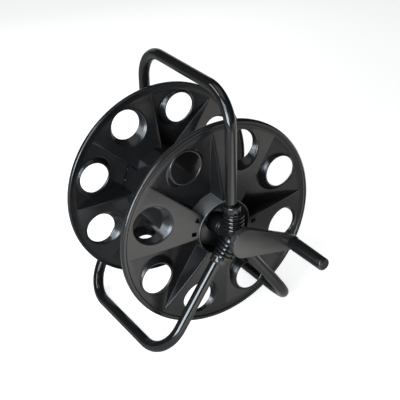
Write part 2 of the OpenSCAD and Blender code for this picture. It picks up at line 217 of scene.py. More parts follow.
# ---- flange ---------------------------------------------------------------------------
# Heights are measured outward from the rim's middle plane, RIM_Y from the drum's middle.

SHEET = 2.4
EDGE = 1.3
PLATEAU_Z = 1.0
PLATEAU_R = 174
PETAL_TOP = 17.5
SUNK_BOTTOM = -18.25
CROWN = 2.0
FLANGE_SMOOTH = 40

HUB_R = 52
HUB_INNER_R = 48
HUB_TOP = 18
HUB_FLOOR = -12
HUB_WEB = 4
HUB_BACK = -22
BOSS_SHOULDER = 14.5
# Radii of the boss, of the raised seat on it and of its bore
FRONT_BOSS = (16, 11.5, 8)
REAR_BOSS = (19, 15, 11)

HOLE_RING = 142.5
THROAT_R = 27.8
MOUTH_R = 38
MOUTH_Z = 13.2
PETAL_THROAT_Z = -4.6
SUNK_THROAT_Z = 1.6
# The mouth's rounded edge as steps outward from the cone and down towards the throat
MOUTH_EDGE = ((2.8, 0), (1.6, 0.12), (0.75, 0.4), (0.05, 0.95), (-0.65, 1.75))
MOUTH_DEPTH = 2.9
CONE_STEPS = 5
CONE_END = 1.2
FUNNEL_WALL = SHEET + 0.4
LIP_R = FUNNEL_WALL / 2 + 0.5
LIP_RISE = 0.55
LIP_STRETCH = 1.05
LIP_INSET = 0.5
LIP_CLEAR = 0.4
LIP_STEPS = 8
FILLET = 2.2
FILLET_SHARE = 0.35
FUNNEL_INSET = 0.8
FUNNEL_SHARE = 0.92
FUNNEL_STEPS = 4
MEET_ROUNDS = 12

SKIN_START_R = HUB_R - 1.5
SKIN_END_R = 181
SIDE_STEPS = 44
HUB_STEPS = 10
RIM_STEPS = 44
SHEET_STEPS = 7
# Across a step wall and down it: rounded top edge, wall, filleted foot
STEP_SHAPE = ((0, 0), (0.24, 0.03), (0.40, 0.13), (0.46, 0.30),
              (0.54, 0.70), (0.60, 0.87), (0.76, 0.97), (1, 1))
STEP_EDGE = 3.0

RIM_ROUND = 4.5
RIM_SEGMENTS = 288
HUB_SEGMENTS = 144
WINDOW = (9, 8)
WINDOW_R = 61
WINDOW_TURN = 12


def sheet_z(raised, r):
    """Height of a sector's outer skin at radius r."""
    s = min(max((r - HUB_R) / (PLATEAU_R - HUB_R), 0), 1)
    top = PETAL_TOP if raised else SUNK_BOTTOM
    crown = CROWN if raised else -CROWN
    return PLATEAU_Z + (top - PLATEAU_Z) * (1 - s) + crown * 4 * s * (1 - s)


def sector_edge(offset):
    """Boundary of a 45 degree sector, counter-clockwise from the hub end of its lower side.

    The offset moves its two straight sides inward (mm)."""
    half = pi / 8
    reach = SKIN_END_R - SKIN_START_R
    radii = [SKIN_START_R + reach * i / SIDE_STEPS for i in range(SIDE_STEPS + 1)]

    def side_point(r, sign):
        along = sqrt(r * r - offset * offset)
        x = along * cos(half) + offset * sin(half)
        y = along * sin(half) - offset * cos(half)
        return (x, sign * y)

    def between(r, start, end, steps):
        a0, a1 = atan2(start[1], start[0]), atan2(end[1], end[0])
        angles = [a0 + (a1 - a0) * i / steps for i in range(1, steps)]
        return [(r * cos(a), r * sin(a)) for a in angles]

    low = [side_point(r, -1) for r in radii]
    high = [side_point(r, 1) for r in reversed(radii)]
    rim = between(SKIN_END_R, low[-1], high[0], RIM_STEPS)
    hub = between(SKIN_START_R, high[-1], low[0], HUB_STEPS)
    return low + rim + high + hub


def facing(raised):
    """1 where a hole's mouth faces outward, -1 where it faces inward."""
    return 1 if raised else -1


def throat_height(raised):
    return PETAL_THROAT_Z if raised else SUNK_THROAT_Z


def skin_point(raised, theta, rho, drop=0):
    """A point of the skin lowered by drop, at a distance and direction from the hole's axis."""
    x, y = HOLE_RING + rho * cos(theta), rho * sin(theta)
    return (x, y, sheet_z(raised, hypot(x, y)) - drop)


def cone_rho(raised, z):
    """Radius of the hole's cone at height z."""
    sign, throat = facing(raised), throat_height(raised)
    slope = (MOUTH_R - THROAT_R) / (MOUTH_Z - sign * throat)
    return THROAT_R + slope * sign * (z - throat)


def cone_meets_skin(raised, theta, drop):
    """Distance from the hole's axis at which its cone meets the skin lowered by drop."""
    rho = (THROAT_R + MOUTH_R) / 2
    for _ in range(MEET_ROUNDS):
        rho = cone_rho(raised, skin_point(raised, theta, rho, drop)[2])
    return rho


def hole_mouth(raised, theta, drop):
    """The mouth's rounded edge, then the cone down to the throat."""
    sign = facing(raised)
    rho = cone_meets_skin(raised, theta, drop)
    points = [skin_point(raised, theta, rho + out, drop + down * sign) for out, down in MOUTH_EDGE]
    top = skin_point(raised, theta, rho, drop + MOUTH_DEPTH * sign)[2]
    bottom = throat_height(raised) + CONE_END * sign
    for i in range(CONE_STEPS + 1):
        z = top + (bottom - top) * i / CONE_STEPS
        points.append((*skin_point(raised, theta, cone_rho(raised, z))[:2], z))
    return points, rho + MOUTH_EDGE[0][0]


def hole_funnel(raised, theta, drop):
    """The throat's rounded lip, then the outside of the funnel up to a fillet on the skin."""
    sign = facing(raised)

    def at_height(rho, z):
        return (*skin_point(raised, theta, rho)[:2], z)

    lip_rho = THROAT_R + LIP_R
    lip_z = throat_height(raised) + LIP_R * LIP_RISE * sign
    points = []
    for i in range(1, LIP_STEPS):
        a = pi * i / LIP_STEPS
        points.append(at_height(lip_rho - LIP_R * cos(a), lip_z - LIP_R * sin(a) * LIP_STRETCH * sign))

    root_rho = cone_meets_skin(raised, theta, drop) + FUNNEL_WALL
    root_z = skin_point(raised, theta, root_rho, drop)[2]
    fillet = min(FILLET, abs(root_z - lip_z) * FILLET_SHARE)
    low_rho, low_z = lip_rho + LIP_R - LIP_INSET, lip_z + LIP_CLEAR * sign
    high_rho = low_rho + (root_rho - FUNNEL_INSET - low_rho) * FUNNEL_SHARE
    high_z = root_z - fillet * sign
    for i in range(FUNNEL_STEPS + 1):
        t = i / FUNNEL_STEPS
        points.append(at_height(low_rho + (high_rho - low_rho) * t, low_z + (high_z - low_z) * t))
    foot_rho = root_rho + fillet * 0.7
    points.append(at_height(root_rho - 0.1, root_z - fillet * 0.3 * sign))
    points.append(skin_point(raised, theta, foot_rho, drop + 0.05 * sign))
    points.append(skin_point(raised, theta, foot_rho + 1, drop))
    return points, foot_rho + 1


def skin_line(raised, edge, rho_end, drop):
    """Points on the skin from the sector's edge towards the hole."""
    theta = atan2(edge[1], edge[0] - HOLE_RING)
    reach = hypot(edge[0] - HOLE_RING, edge[1])
    rhos = [reach + (rho_end - reach) * i / SHEET_STEPS for i in range(SHEET_STEPS)]
    return [skin_point(raised, theta, rho, drop) for rho in rhos]


def sector_profile(raised, edge_out, edge_in):
    """From the sector's edge on the outer skin, through the hole, to its edge on the inner skin."""
    theta = atan2(edge_out[1], edge_out[0] - HOLE_RING)
    # The mouth of a raised sector's hole is on the outer skin, of a sunken one's on the inner
    mouth_drop, funnel_drop = (0, SHEET) if raised else (SHEET, 0)
    mouth, near_rho = hole_mouth(raised, theta, mouth_drop)
    funnel, far_rho = hole_funnel(raised, theta, funnel_drop)
    hole = mouth + funnel
    if not raised:
        hole.reverse()
        near_rho, far_rho = far_rho, near_rho
    outer = skin_line(raised, edge_out, near_rho, 0)
    back = skin_line(raised, edge_in, far_rho, SHEET)
    return outer + hole + back[::-1]


def rotate_z(p, a):
    c, s = cos(a), sin(a)
    return (p[0] * c - p[1] * s, p[0] * s + p[1] * c, p[2])


def step_section(a, b):
    """Points across a step from a to b; tall steps keep a small edge radius."""
    sharp = min(1, STEP_EDGE / max(abs(a[2] - b[2]), 0.01))
    out = []
    for across, down in STEP_SHAPE:
        d = down * sharp if down < 0.5 else 1 - (1 - down) * sharp
        out.append((a[0] + (b[0] - a[0]) * across, a[1] + (b[1] - a[1]) * across, a[2] + (b[2] - a[2]) * d))
    return out


def flange_skin(shape):
    """Eight sectors, raised and sunken in turn, joined by the step walls."""
    # A raised sector's inner skin is narrower than its outer one, a sunken sector's is wider
    rows = {}
    for raised, inner in ((True, EDGE + SHEET), (False, EDGE - SHEET)):
        edges = zip(sector_edge(EDGE), sector_edge(inner))
        rows[raised] = [sector_profile(raised, a, b) for a, b in edges]
    n = len(rows[True])
    sides = SIDE_STEPS + 1
    for k in range(8):
        raised = k % 2 == 0
        turn = k * pi / 4
        profile = [[rotate_z(p, turn) for p in row] for row in rows[raised]]
        following = [[rotate_z(p, turn + pi / 4) for p in row] for row in rows[not raised]]
        shape.grid(profile, close_u=True)
        # Close the sheet's edge inside the rim and inside the hub ring
        shape.grid([[profile[i][0], profile[i][-1]] for i in range(sides - 1, sides + RIM_STEPS)])
        shape.grid([[profile[i % n][0], profile[i % n][-1]] for i in range(n - HUB_STEPS, n + 1)])
        # The step wall between this sector and the next
        high_side = [profile[n - HUB_STEPS - j] for j in range(sides)]
        pairs = list(zip(high_side, following[:sides]))
        outer_strip = [step_section(a[0], b[0]) for a, b in pairs]
        inner_strip = [step_section(a[-1], b[-1]) for a, b in pairs]
        shape.grid(outer_strip)
        shape.grid(inner_strip)
        for end in (0, -1):
            shape.grid([outer_strip[end], inner_strip[end]])


def flange_rim(shape, place):
    """Beaded rim: groove, rolled bead, outer band and turned-in lip."""
    r, top = FLANGE_R, 3.0
    back = PLATEAU_Z - SHEET - 0.05
    profile = [(r - 13, PLATEAU_Z + 0.05), (r - 11.2, PLATEAU_Z), (r - 10.4, PLATEAU_Z - 0.9)]
    profile += [(r - 9.6, PLATEAU_Z - 1.2), (r - 8.9, PLATEAU_Z - 0.7), (r - 8.4, 1.4), (r - 7.6, 2.4)]
    profile += [(r - 6.6, 2.8), (r - 5.4, top)]
    profile += arc(r - RIM_ROUND, top - RIM_ROUND, RIM_ROUND, 90, 0, 9)
    profile += [(r, -4.2), (r - 0.2, -5.4), (r - 0.9, -6.4), (r - 2, -7), (r - 3.1, -6.6)]
    profile += [(r - 3.6, -5.6), (r - 3.8, -2.6), (r - 5, -1.6), (r - 9, back), (r - 13, back)]
    shape.lathe(profile, place, segments=RIM_SEGMENTS)


def flange_hub(shape, place, boss_r, seat_r, bore_r):
    """Hub ring with its floor and the bearing boss, as one revolved solid."""
    web_back = HUB_FLOOR - HUB_WEB
    outer_round, inner_round, boss_round, seat_round = 1.6, 1.2, 1.2, 0.6
    profile = [(HUB_R, HUB_BACK), (HUB_R, HUB_TOP - outer_round)]
    profile += arc(HUB_R - outer_round, HUB_TOP - outer_round, outer_round, 0, 90, 5)[1:]
    profile += arc(HUB_INNER_R + inner_round, HUB_TOP - inner_round, inner_round, 90, 180, 4)
    profile += [(HUB_INNER_R - 1.5, HUB_FLOOR + 3), (HUB_INNER_R - 2.4, HUB_FLOOR + 0.8)]
    profile += [(HUB_INNER_R - 4.5, HUB_FLOOR), (boss_r + 4, HUB_FLOOR)]
    profile += [(boss_r + 2.2, HUB_FLOOR + 0.8), (boss_r + 1.6, HUB_FLOOR + 3)]
    profile += arc(boss_r - boss_round, BOSS_SHOULDER - boss_round, boss_round, 0, 90, 4)
    profile += [(seat_r + 0.8, BOSS_SHOULDER), (seat_r, BOSS_SHOULDER + 0.8)]
    profile += arc(seat_r - seat_round, BOSS_TOP - seat_round, seat_round, 0, 90, 3)
    profile += [(bore_r + 1.1, BOSS_TOP), (bore_r + 0.1, BOSS_TOP - 1), (bore_r + 0.1, web_back)]
    profile += [(HUB_INNER_R, web_back), (HUB_INNER_R, HUB_BACK)]
    shape.lathe(profile, place, segments=HUB_SEGMENTS)


def window_cutter(place, angle):
    """A block through a raised sector, square to its radius."""
    a = radians(angle)

    def on_radius(u, v, z):
        r = WINDOW_R + u
        return place(cos(a) * r - sin(a) * v, sin(a) * r + cos(a) * v, z)

    half_r, half_w = WINDOW[0] / 2, WINDOW[1] / 2
    outline = ((-half_r, -half_w), (half_r, -half_w), (half_r, half_w), (-half_r, half_w))
    block = Shape()
    block.prism(outline, 0, PETAL_TOP + CUT_PAST, on_radius)
    return block.build("window_cutter", FLANGE_SMOOTH)


def build_flange(name, side, boss):
    """side is -1 for the crank side and 1 for the rear."""

    def place(x, y, z):
        return turned((x, side * (RIM_Y + z), y))

    skin = Shape()
    flange_skin(skin)
    skin.verts = [place(*p) for p in skin.verts]
    disc = skin.build("flange_skin", FLANGE_SMOOTH)
    angles = [petal + turn for petal in (0, 180) for turn in (-WINDOW_TURN, WINDOW_TURN)]
    cut(disc, [window_cutter(place, angle) for angle in angles], FLANGE_SMOOTH)
    turnings = Shape()
    flange_rim(turnings, place)
    flange_hub(turnings, place, *boss)
    return joined([disc, turnings.build("flange_turnings", FLANGE_SMOOTH)], name, FLANGE_SMOOTH)


# ---- tubes ----------------------------------------------------------------------------

TUBE_WALL = 1.5
TUBE_START = 40
TUBE_SEGMENTS = 64
TUBE_SMOOTH = 60
STRAIGHT_STEPS = 8
BEND_STEPS = 24


def u_path(bend):
    """Centre line of a U tube as (y, s) points, s measured away from the axle."""
    straight = LEG - bend - TUBE_START
    half = [(-TUBE_Y, TUBE_START + straight * i / STRAIGHT_STEPS) for i in range(STRAIGHT_STEPS)]
    for i in range(BEND_STEPS + 1):
        a = pi / 2 * i / BEND_STEPS
        half.append((-TUBE_Y + bend - bend * cos(a), LEG - bend + bend * sin(a)))
    flat = TUBE_Y - bend
    middle = [(-flat + 2 * flat * i / STRAIGHT_STEPS, LEG) for i in range(1, STRAIGHT_STEPS)]
    return half + middle + [(-y, s) for y, s in reversed(half)]


def build_u_tube(name, which):
    """A hollow tube along its U; which names its place on the stand."""
    angle = LEG_ANGLES[which]
    out = (cos(angle), 0, sin(angle))
    normal = (-sin(angle), 0, cos(angle))
    path = u_path(BENDS[which])

    def ring(i, r):
        y, s = path[i]
        before = path[max(i - 1, 0)]
        after = path[min(i + 1, len(path) - 1)]
        ty, ts = after[0] - before[0], after[1] - before[1]
        length = hypot(ty, ts)
        ny, ns = -ts / length, ty / length
        row = []
        for k in range(TUBE_SEGMENTS):
            a = 2 * pi * k / TUBE_SEGMENTS
            u, v = r * cos(a), r * sin(a)
            yy, ss = y + u * ny, s + u * ns
            row.append((out[0] * ss + normal[0] * v, yy, out[2] * ss + normal[2] * v))
        return row

    outer = [ring(i, TUBE_R) for i in range(len(path))]
    inner = [ring(i, TUBE_R - TUBE_WALL) for i in reversed(range(len(path)))]
    shape = Shape()
    shape.grid(outer + inner, close_u=True, close_v=True)
    return shape.build(name, TUBE_SMOOTH)


# ---- hubs -----------------------------------------------------------------------------
# Lengths along an arm are measured from the axle; a shift moves a ring out along the axle.

HUB_FACE = TUBE_Y - 17.1
NOSE_END = TUBE_Y + 30.5
HUB_SMOOTH = 30
ARM_SEGMENTS = 72
# Radii of the bush's seat and of the nose around it
FRONT_NOSE = (11, 15)
REAR_NOSE = (14, 18)
SOCKET_START = 39.5
SOCKET_R = TUBE_R + 0.1
COLLAR_R = 15
COLLAR_START = 42.6
COLLAR_END = 56
COLLAR_SHIFT = 3
COLLAR_BORE = 10.3
FLUTES = 12
FLUTE_DEPTH = 0.75
NECK_R = 12
NECK_BORE = 10.1
NECK_START = 30
RIBS = 4
RIB_R = 18
RIB_CORE = 13.5
RIB_SHIFT = 7
RIB_PITCH = 7.2
FIRST_RIB = 17
# Half a rib, from its root to just below its crest: radius and distance from its middle
RIB_HALF = ((RIB_CORE, 2.6), (RIB_CORE + 0.4, 2.0), (RIB_R - 1.2, 1.7), (RIB_R - 0.35, 1.1))


def flute(a):
    """Flattens a collar into facets with soft corners."""
    step = 2 * pi / FLUTES
    t = (a % step) - step / 2
    flat = cos(step / 2) / cos(t)
    return 1 - FLUTE_DEPTH + FLUTE_DEPTH * flat


def rod(place, r, start, end):
    """A round bar between two heights, to cut a bore with."""
    shape = Shape()
    shape.lathe([(r, start), (r, end)], place, segments=ARM_SEGMENTS, closed=False)
    return shape.build("rod", HUB_SMOOTH)


def hub_collar(shape, place):
    """The faceted collar at an arm's end."""
    start, end = COLLAR_START, COLLAR_END
    bore = [(COLLAR_BORE, end - 11, 0), (10.6, end - 2.0, 0), (11.0, end - 0.4, 0.2), (12.0, end, 1.4)]
    crown = [(13.2, end), (14.4, end - 0.7), (COLLAR_R, end - 2.0), (COLLAR_R, start + 1.2)]
    crown += [(COLLAR_R - 1, start)]
    profile = bore + [(r, h, COLLAR_SHIFT) for r, h in crown] + [(COLLAR_BORE, start, 0)]
    shape.lathe(profile, place, wobble=lambda a, h: flute(a) if h > start + 1 else 1)


def hub_neck(shape, place):
    """The plug between the bellows and the collar, which closes the socket."""
    top = COLLAR_START + 1
    profile = [(NECK_R, NECK_START), (NECK_R, top), (NECK_BORE, top), (NECK_BORE, SOCKET_START),
               (AXIS_R, SOCKET_START), (AXIS_R, NECK_START)]
    shape.lathe(profile, place, segments=ARM_SEGMENTS)


def hub_bellows(shape, place):
    """The ribbed part of an arm."""
    rib = [(r, -h) for r, h in RIB_HALF] + [(RIB_R, 0)] + list(reversed(RIB_HALF))
    ribs = [(r, FIRST_RIB + i * RIB_PITCH + h) for i in range(RIBS) for r, h in rib]
    profile = [(RIB_CORE, 0)] + ribs + [(RIB_CORE, COLLAR_START + 0.8)]
    shape.lathe([(r, h, RIB_SHIFT) for r, h in profile], place, segments=ARM_SEGMENTS, closed=False)


def build_hub(name, side, bush_r, nose_r):
    """Three-armed hub; side is -1 for the crank side and 1 for the rear."""

    def axle(u, v, h):
        return (u, side * h, v)

    core = Shape()
    core.lathe([(bush_r, HUB_FACE), (nose_r - 0.8, HUB_FACE), (nose_r, HUB_FACE + 0.8),
                (nose_r, NOSE_END - 1.2), (nose_r - 1.2, NOSE_END), (bush_r, NOSE_END)], axle)
    arms = []
    for angle in LEG_ANGLES.values():
        along = (cos(angle), sin(angle))
        across = (-sin(angle), cos(angle))

        def place(u, v, h):
            # u across the arm, v outward along the axle, h along the arm
            return (along[0] * h + across[0] * u, side * (TUBE_Y + v), along[1] * h + across[1] * u)

        hub_collar(core, place)
        hub_neck(core, place)
        bellows = Shape()
        hub_bellows(bellows, place)
        arm = bellows.build("hub_arm", HUB_SMOOTH)
        bore = rod(axle, bush_r, HUB_FACE - 2, NOSE_END + 2)
        socket = rod(place, SOCKET_R, SOCKET_START, COLLAR_END + CUT_PAST)
        cut(arm, [bore, socket], HUB_SMOOTH)
        arms.append(arm)
    return joined([core.build("hub_core", HUB_SMOOTH)] + arms, name, HUB_SMOOTH)


# ---- crank ----------------------------------------------------------------------------

ARM_BIG_R = 26.5
ARM_SMALL_R = 13
ARM_EDGE = 1.6
BIG_STEPS = 48
SMALL_STEPS = 32
GRIP_BASE_R = 11.9
GRIP_TIP_R = 11.25
GRIP_ROUND = 3
GRIP_STEPS = 6


def build_arm():
    """A teardrop plate from the axle to the grip, rounded along its front edge."""
    lean = acos((ARM_BIG_R - ARM_SMALL_R) / CRANK_LEN)
    outline = []
    for i in range(BIG_STEPS + 1):
        outline.append((0, ARM_BIG_R, lean + (2 * pi - 2 * lean) * i / BIG_STEPS))
    for i in range(SMALL_STEPS + 1):
        outline.append((CRANK_LEN, ARM_SMALL_R, -lean + 2 * lean * i / SMALL_STEPS))

    # Insets of the outline from the back face to the rounded front edge
    back, front = -arm_high[1], -arm_low[1]
    edge = ARM_EDGE
    levels = [(edge * 0.6, back), (0.15, back + 0.9), (0, back + 2), (0, front - edge),
              (edge * 0.13, front - edge * 0.5), (edge * 0.5, front - edge * 0.13), (edge, front)]
    rows = [[(c + (r - inset) * cos(a), -y, (r - inset) * sin(a)) for c, r, a in outline]
            for inset, y in levels]
    shape = Shape()
    shape.grid(rows, close_v=True, capped=True)
    return shape.build("crank_arm_plate", 30, turned)


def build_grip():
    """A slightly tapered handle with a rounded end and a fine groove around its cap."""
    start, end = -grip_high[1], -grip_low[1]
    base, tip = GRIP_BASE_R, GRIP_TIP_R
    first = start + 2
    length = end - GRIP_ROUND - 1 - first
    profile = [(6.05, start + 0.5), (9, start), (base - 1.6, start), (base - 0.5, start + 0.5)]
    profile += [(base, start + 1.7)]
    for i in range(1, GRIP_STEPS + 1):
        t = i / GRIP_STEPS
        profile.append((tip + (base - tip) * (1 - t), first + length * t))
    profile += arc(tip - GRIP_ROUND, end - GRIP_ROUND, GRIP_ROUND, 0, 90, 6)[1:]
    profile += [(7.6, end), (7.35, end - 0.35), (7.1, end), (AXIS_R, end), (AXIS_R, start + 0.5)]

    def place(u, v, h):
        return (CRANK_LEN + u, -h, v)

    shape = Shape()
    shape.lathe(profile, place)
    return shape.build("grip_sleeve", 50, turned)


# ---- barrel ---------------------------------------------------------------------------

BARREL_FLAT = 66
BARREL_CHAMFER = 77
BARREL_ROUND = 2.2
BARREL_HALF = RIM_Y - 18.2
BARREL_PULL = 0.35
BARREL_INSIDE = 0.955
BARREL_SMOOTH = 25
TONGUE_START = BARREL_HALF - 2
TONGUE_END = RIM_Y + 12
TONGUE_HALF = 21
TONGUE_TOP = BARREL_FLAT - 0.1
TONGUE_BACK = BARREL_FLAT - 2.9
HOOK = (56, 74)
HOOK_HALF = 7.5
HOOK_Y = (-RIM_Y - 4, -RIM_Y + 1)


def barrel_outline():
    """A square with cut corners, each of its eight corners slightly rounded."""
    flat = BARREL_FLAT
    end = BARREL_CHAMFER * sqrt(2) - flat
    corners = [(flat, -end), (flat, end), (end, flat), (-end, flat),
               (-flat, end), (-flat, -end), (-end, -flat), (end, -flat)]
    outline = []
    for i, corner in enumerate(corners):
        for t in (-1, -0.5, 0, 0.5, 1):
            other = corners[i - 1] if t < 0 else corners[(i + 1) % 8]
            dx, dz = other[0] - corner[0], other[1] - corner[1]
            reach = BARREL_ROUND * abs(t) / hypot(dx, dz)
            stay = 1 - BARREL_PULL * (1 - abs(t)) / hypot(*corner)
            outline.append((corner[0] * stay + dx * reach, corner[1] * stay + dz * reach))
    return outline


def build_barrel():
    """The hollow core between the flanges, with its tongues and snap hooks."""

    def place(x, z, y):
        return (x, y, z)

    outline = barrel_outline()
    half = BARREL_HALF
    outside = [[(x, y, z) for x, z in outline] for y in (-half, -half / 2, 0, half / 2, half)]
    inside = [[(x * BARREL_INSIDE, y, z * BARREL_INSIDE) for x, z in outline] for y in (half, -half)]
    shape = Shape()
    shape.grid(outside + inside, close_u=True, close_v=True)
    # Tongues that reach into the raised sectors
    for k in range(4):
        c, s = cos(k * pi / 2), sin(k * pi / 2)
        section = ((TONGUE_TOP, -TONGUE_HALF), (TONGUE_TOP, TONGUE_HALF),
                   (TONGUE_BACK, TONGUE_HALF), (TONGUE_BACK, -TONGUE_HALF))
        section = [(x * c - z * s, x * s + z * c) for x, z in section]
        shape.prism(section, -TONGUE_END, -TONGUE_START, place)
        shape.prism(section, TONGUE_START, TONGUE_END, place)
    # Snap hooks under the windows of the front flange
    for side in (1, -1):
        for turn in (-1, 1):
            across = turn * WINDOW_R * sin(radians(WINDOW_TURN))
            low, high = across - HOOK_HALF, across + HOOK_HALF
            section = ((HOOK[0], low), (HOOK[0], high), (HOOK[1], high), (HOOK[1], low))
            shape.prism([(side * x, side * z) for x, z in section], *HOOK_Y, place)
    return shape.build("barrel_shell", BARREL_SMOOTH, turned)


# ---- materials ------------------------------------------------------------------------


def add_node(tree, kind, inputs=(), **settings):
    """Adds a shader node; each input is set to a value or linked from another node's output."""
    node = tree.nodes.new("ShaderNode" + kind)
    for key, value in settings.items():
        setattr(node, key, value)
    for socket, value in dict(inputs).items():
        if isinstance(value, bpy.types.NodeSocket):
            tree.links.new(value, node.inputs[socket])
        else:
            node.inputs[socket].default_value = value
    return node


def math_node(tree, operation, *values):
    return add_node(tree, "Math", enumerate(values), operation=operation).outputs["Value"]


def mixed(tree, factor, a, b, data_type="RGBA"):
    inputs = {"Factor": factor, "A": a, "B": b}
    return add_node(tree, "Mix", inputs, data_type=data_type).outputs["Result"]


def remap(tree, source, old, new, interpolation="LINEAR"):
    """From new[0] to new[1] while source goes from old[0] to old[1]."""
    inputs = {"Value": source, "From Min": old[0], "From Max": old[1], "To Min": new[0], "To Max": new[1]}
    return add_node(tree, "MapRange", inputs, interpolation_type=interpolation).outputs["Result"]


# A noise's useful range; its values rarely lie outside
NOISE_RANGE = (0.3, 0.7)
MOTTLING = 0.12
# Scale, detail and roughness of the slow and the middling changes
CLOUDS = (14, 5)
SCUFFS = (60, 6, 0.65)
GRAIN_DETAIL = 2
GRAIN_HEIGHT = 0.2 * MM


def surface(name, color, rough, rough_spread, bump, grain, metallic):
    """A moulded, painted or turned surface: fine grain, slow changes of colour and gloss."""
    mat = bpy.data.materials.new(name)
    mat.use_nodes = True
    tree = mat.node_tree
    shader = tree.nodes["Principled BSDF"]
    coords = add_node(tree, "TexCoord").outputs["Object"]

    def noise(scale, detail, roughness=0.5):
        inputs = {"Vector": coords, "Scale": scale, "Detail": detail, "Roughness": roughness}
        return add_node(tree, "TexNoise", inputs).outputs["Fac"]

    clouds, scuffs, grains = noise(*CLOUDS), noise(*SCUFFS), noise(grain, GRAIN_DETAIL)
    darker = (*[c * (1 - MOTTLING) for c in color], 1)
    paler = (*[c * (1 + MOTTLING) for c in color], 1)
    tone = mixed(tree, remap(tree, clouds, NOISE_RANGE, (0, 1)), darker, paler)
    gloss = remap(tree, scuffs, NOISE_RANGE, (rough - rough_spread, rough + rough_spread))
    bumps = add_node(tree, "Bump", {"Strength": bump, "Distance": GRAIN_HEIGHT, "Height": grains})
    shader.inputs["Metallic"].default_value = metallic
    tree.links.new(tone, shader.inputs["Base Color"])
    tree.links.new(gloss, shader.inputs["Roughness"])
    tree.links.new(bumps.outputs["Normal"], shader.inputs["Normal"])
    return mat


# Colour, roughness and its spread, strength of the grain, its scale, metallic
FINISHES = {
    "tube_paint": ((0.006, 0.006, 0.0063), 0.1, 0.025, 0.02, 700, 0),
    "hub_plastic": ((0.008, 0.008, 0.0085), 0.13, 0.03, 0.03, 900, 0),
    "drum_plastic": ((0.008, 0.008, 0.0086), 0.23, 0.045, 0.04, 1100, 0),
    "fitting_plastic": ((0.02, 0.02, 0.021), 0.45, 0.07, 0.25, 1100, 0),
    "crank_plastic": ((0.022, 0.022, 0.021), 0.2, 0.04, 0.04, 900, 0),
    "grip_plastic": ((0.008, 0.008, 0.0085), 0.16, 0.03, 0.03, 900, 0),
    "bush_plastic": ((0.6, 0.58, 0.52), 0.5, 0.06, 0.2, 900, 0),
    "seal_rubber": ((0.015, 0.015, 0.015), 0.7, 0.06, 0.3, 1500, 0),
    "screw_steel": ((0.5, 0.5, 0.52), 0.3, 0.08, 0.15, 600, 1),
    "pin_steel": ((0.55, 0.55, 0.57), 0.25, 0.08, 0.1, 600, 1),
}
MATERIALS = {name: surface(name, *look) for name, look in FINISHES.items()}

# Painted light: the paler colour of the hub ring's top, where light from the upper left falls
PAINTED_LIGHT_COLOR = (0.1, 0.098, 0.096, 1)
PAINTED_LIGHT_FADE = 15 * MM


def painted_light_band(mat, middle, half):
    """Paints light on what lies above the axle, at a distance of middle +- half (mm) from it: a paler
    colour standing in for light from above.
    """
    tree = mat.node_tree
    shader = tree.nodes["Principled BSDF"]
    coords = add_node(tree, "TexCoord").outputs["Object"]
    from_axle = add_node(tree, "VectorMath", {0: coords, 1: (0, 0, AXLE_Z * MM)}, operation="SUBTRACT")
    from_axle = from_axle.outputs["Vector"]
    flat = add_node(tree, "VectorMath", {0: from_axle, 1: (1, 0, 1)}, operation="MULTIPLY")
    reach = add_node(tree, "VectorMath", {0: flat.outputs["Vector"]}, operation="LENGTH")
    in_band = math_node(tree, "COMPARE", reach.outputs["Value"], middle * MM, half * MM)
    height = add_node(tree, "SeparateXYZ", {"Vector": from_axle}).outputs["Z"]
    painted_light = math_node(tree, "MULTIPLY", in_band, remap(tree, height, (0, PAINTED_LIGHT_FADE), (0, 1)))
    plain = shader.inputs["Base Color"].links[0].from_socket
    tree.links.new(mixed(tree, painted_light, plain, PAINTED_LIGHT_COLOR), shader.inputs["Base Color"])


# Painted light on the top of the hub ring's outer wall
painted_light_band(MATERIALS["drum_plastic"], HUB_R, 1)

SLOT_OF = {row["node"]: row["material_slot"] for row in frame["record"]["subparts"]}
BODY_OF = {node: body for body, nodes in frame["record"]["behaviour"]["bodies"].items() for node in nodes}


def dress(obj, node):
    """Gives a detailed piece the node's body, slot and material, and hides the node."""
    obj.data.materials.clear()
    obj.data.materials.append(MATERIALS[SLOT_OF[node]])
    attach(obj, BODY_OF[node])
    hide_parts(node)


# ---- make everything ------------------------------------------------------------------

for node, obj in frame["nodes"].items():
    obj.data.materials.clear()
    obj.data.materials.append(MATERIALS[SLOT_OF[node]])

dress(build_flange("front_flange_disc", -1, FRONT_BOSS), "front_flange")
dress(build_flange("rear_flange_disc", 1, REAR_BOSS), "rear_flange")
dress(build_u_tube("handle_bar", "handle"), "handle_tube")
dress(build_u_tube("left_foot_bar", "left_foot"), "left_foot_tube")
dress(build_u_tube("right_foot_bar", "right_foot"), "right_foot_tube")
dress(build_hub("front_hub_moulding", -1, *FRONT_NOSE), "front_hub")
dress(build_hub("rear_hub_moulding", 1, *REAR_NOSE), "rear_hub")
dress(build_arm(), "crank_arm")
dress(build_grip(), "grip")
dress(build_barrel(), "drum_barrel")

# ---- camera ---------------------------------------------------------------------------

CAMERA_AZIMUTH = radians(-32.22)
CAMERA_ELEVATION = radians(29.59)
CAMERA_ROLL = radians(1.437)
CAMERA_DISTANCE = 1.76299
CAMERA_SIDESTEP = 0.021577
SENSOR_MM = 36
FOCAL_MM = 88.65


